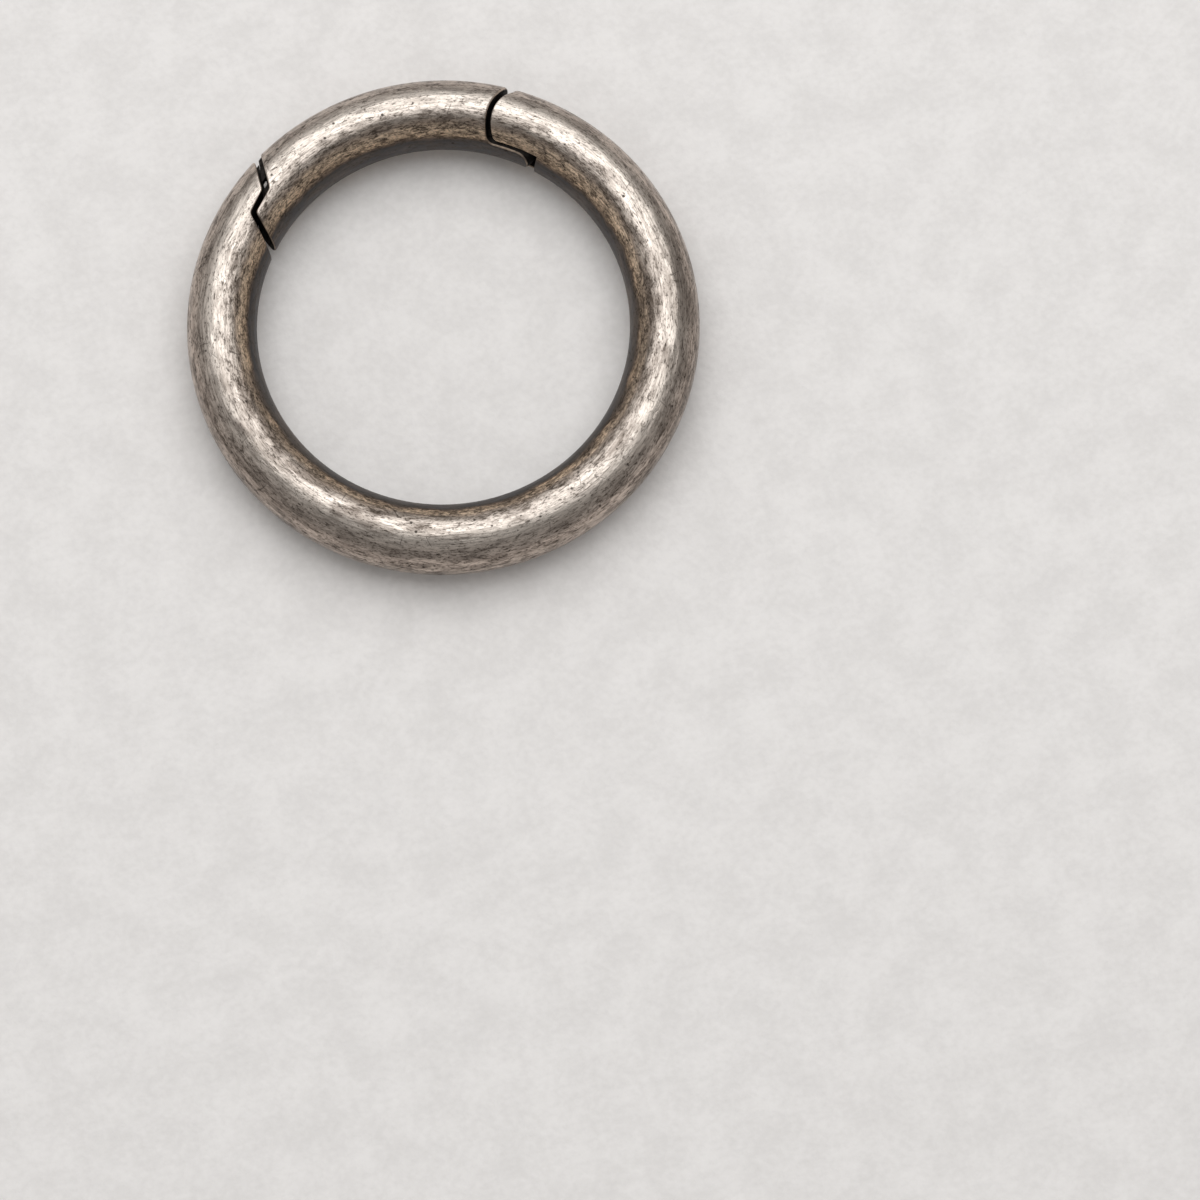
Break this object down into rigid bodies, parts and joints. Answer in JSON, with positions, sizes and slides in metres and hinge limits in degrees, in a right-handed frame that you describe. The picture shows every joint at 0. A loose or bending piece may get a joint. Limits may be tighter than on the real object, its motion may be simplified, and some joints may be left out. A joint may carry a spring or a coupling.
{
  "type": "spring gate ring",
  "caption": "Round-wire ring for keys with a hinged arc that swings inwards on a pin and is closed by a torsion spring.",
  "frame": {"origin": "centre of the ring, on the plane that it rests on", "axes": "+Z along the ring's axis, +Y towards the middle of the gate"},
  "size_m": [0.044, 0.044, 0.006],
  "materials": {
    "antique_nickel": "worn antique nickel on a zinc casting, with darkened pits and burnished edges",
    "pin_steel": "dull steel, end dressed flush",
    "spring_steel": "dark drawn spring wire"
  },
  "bodies": {
    "ring": {"ring_body": "antique_nickel", "hinge_pin": "pin_steel", "gate_spring": "spring_steel"},
    "gate": {"gate": "antique_nickel"}
  },
  "joints": [
    {"name": "gate_hinge", "type": "hinge", "parent": "ring", "child": "gate", "pos_m": [0.01239, 0.0144, 0.003], "axis": [0, 0, 1], "range_deg": [0, 35], "stiffness_Nm_per_rad": 0.0076, "springref_deg": -68.75, "deforming": ["gate_spring"]}
  ]
}
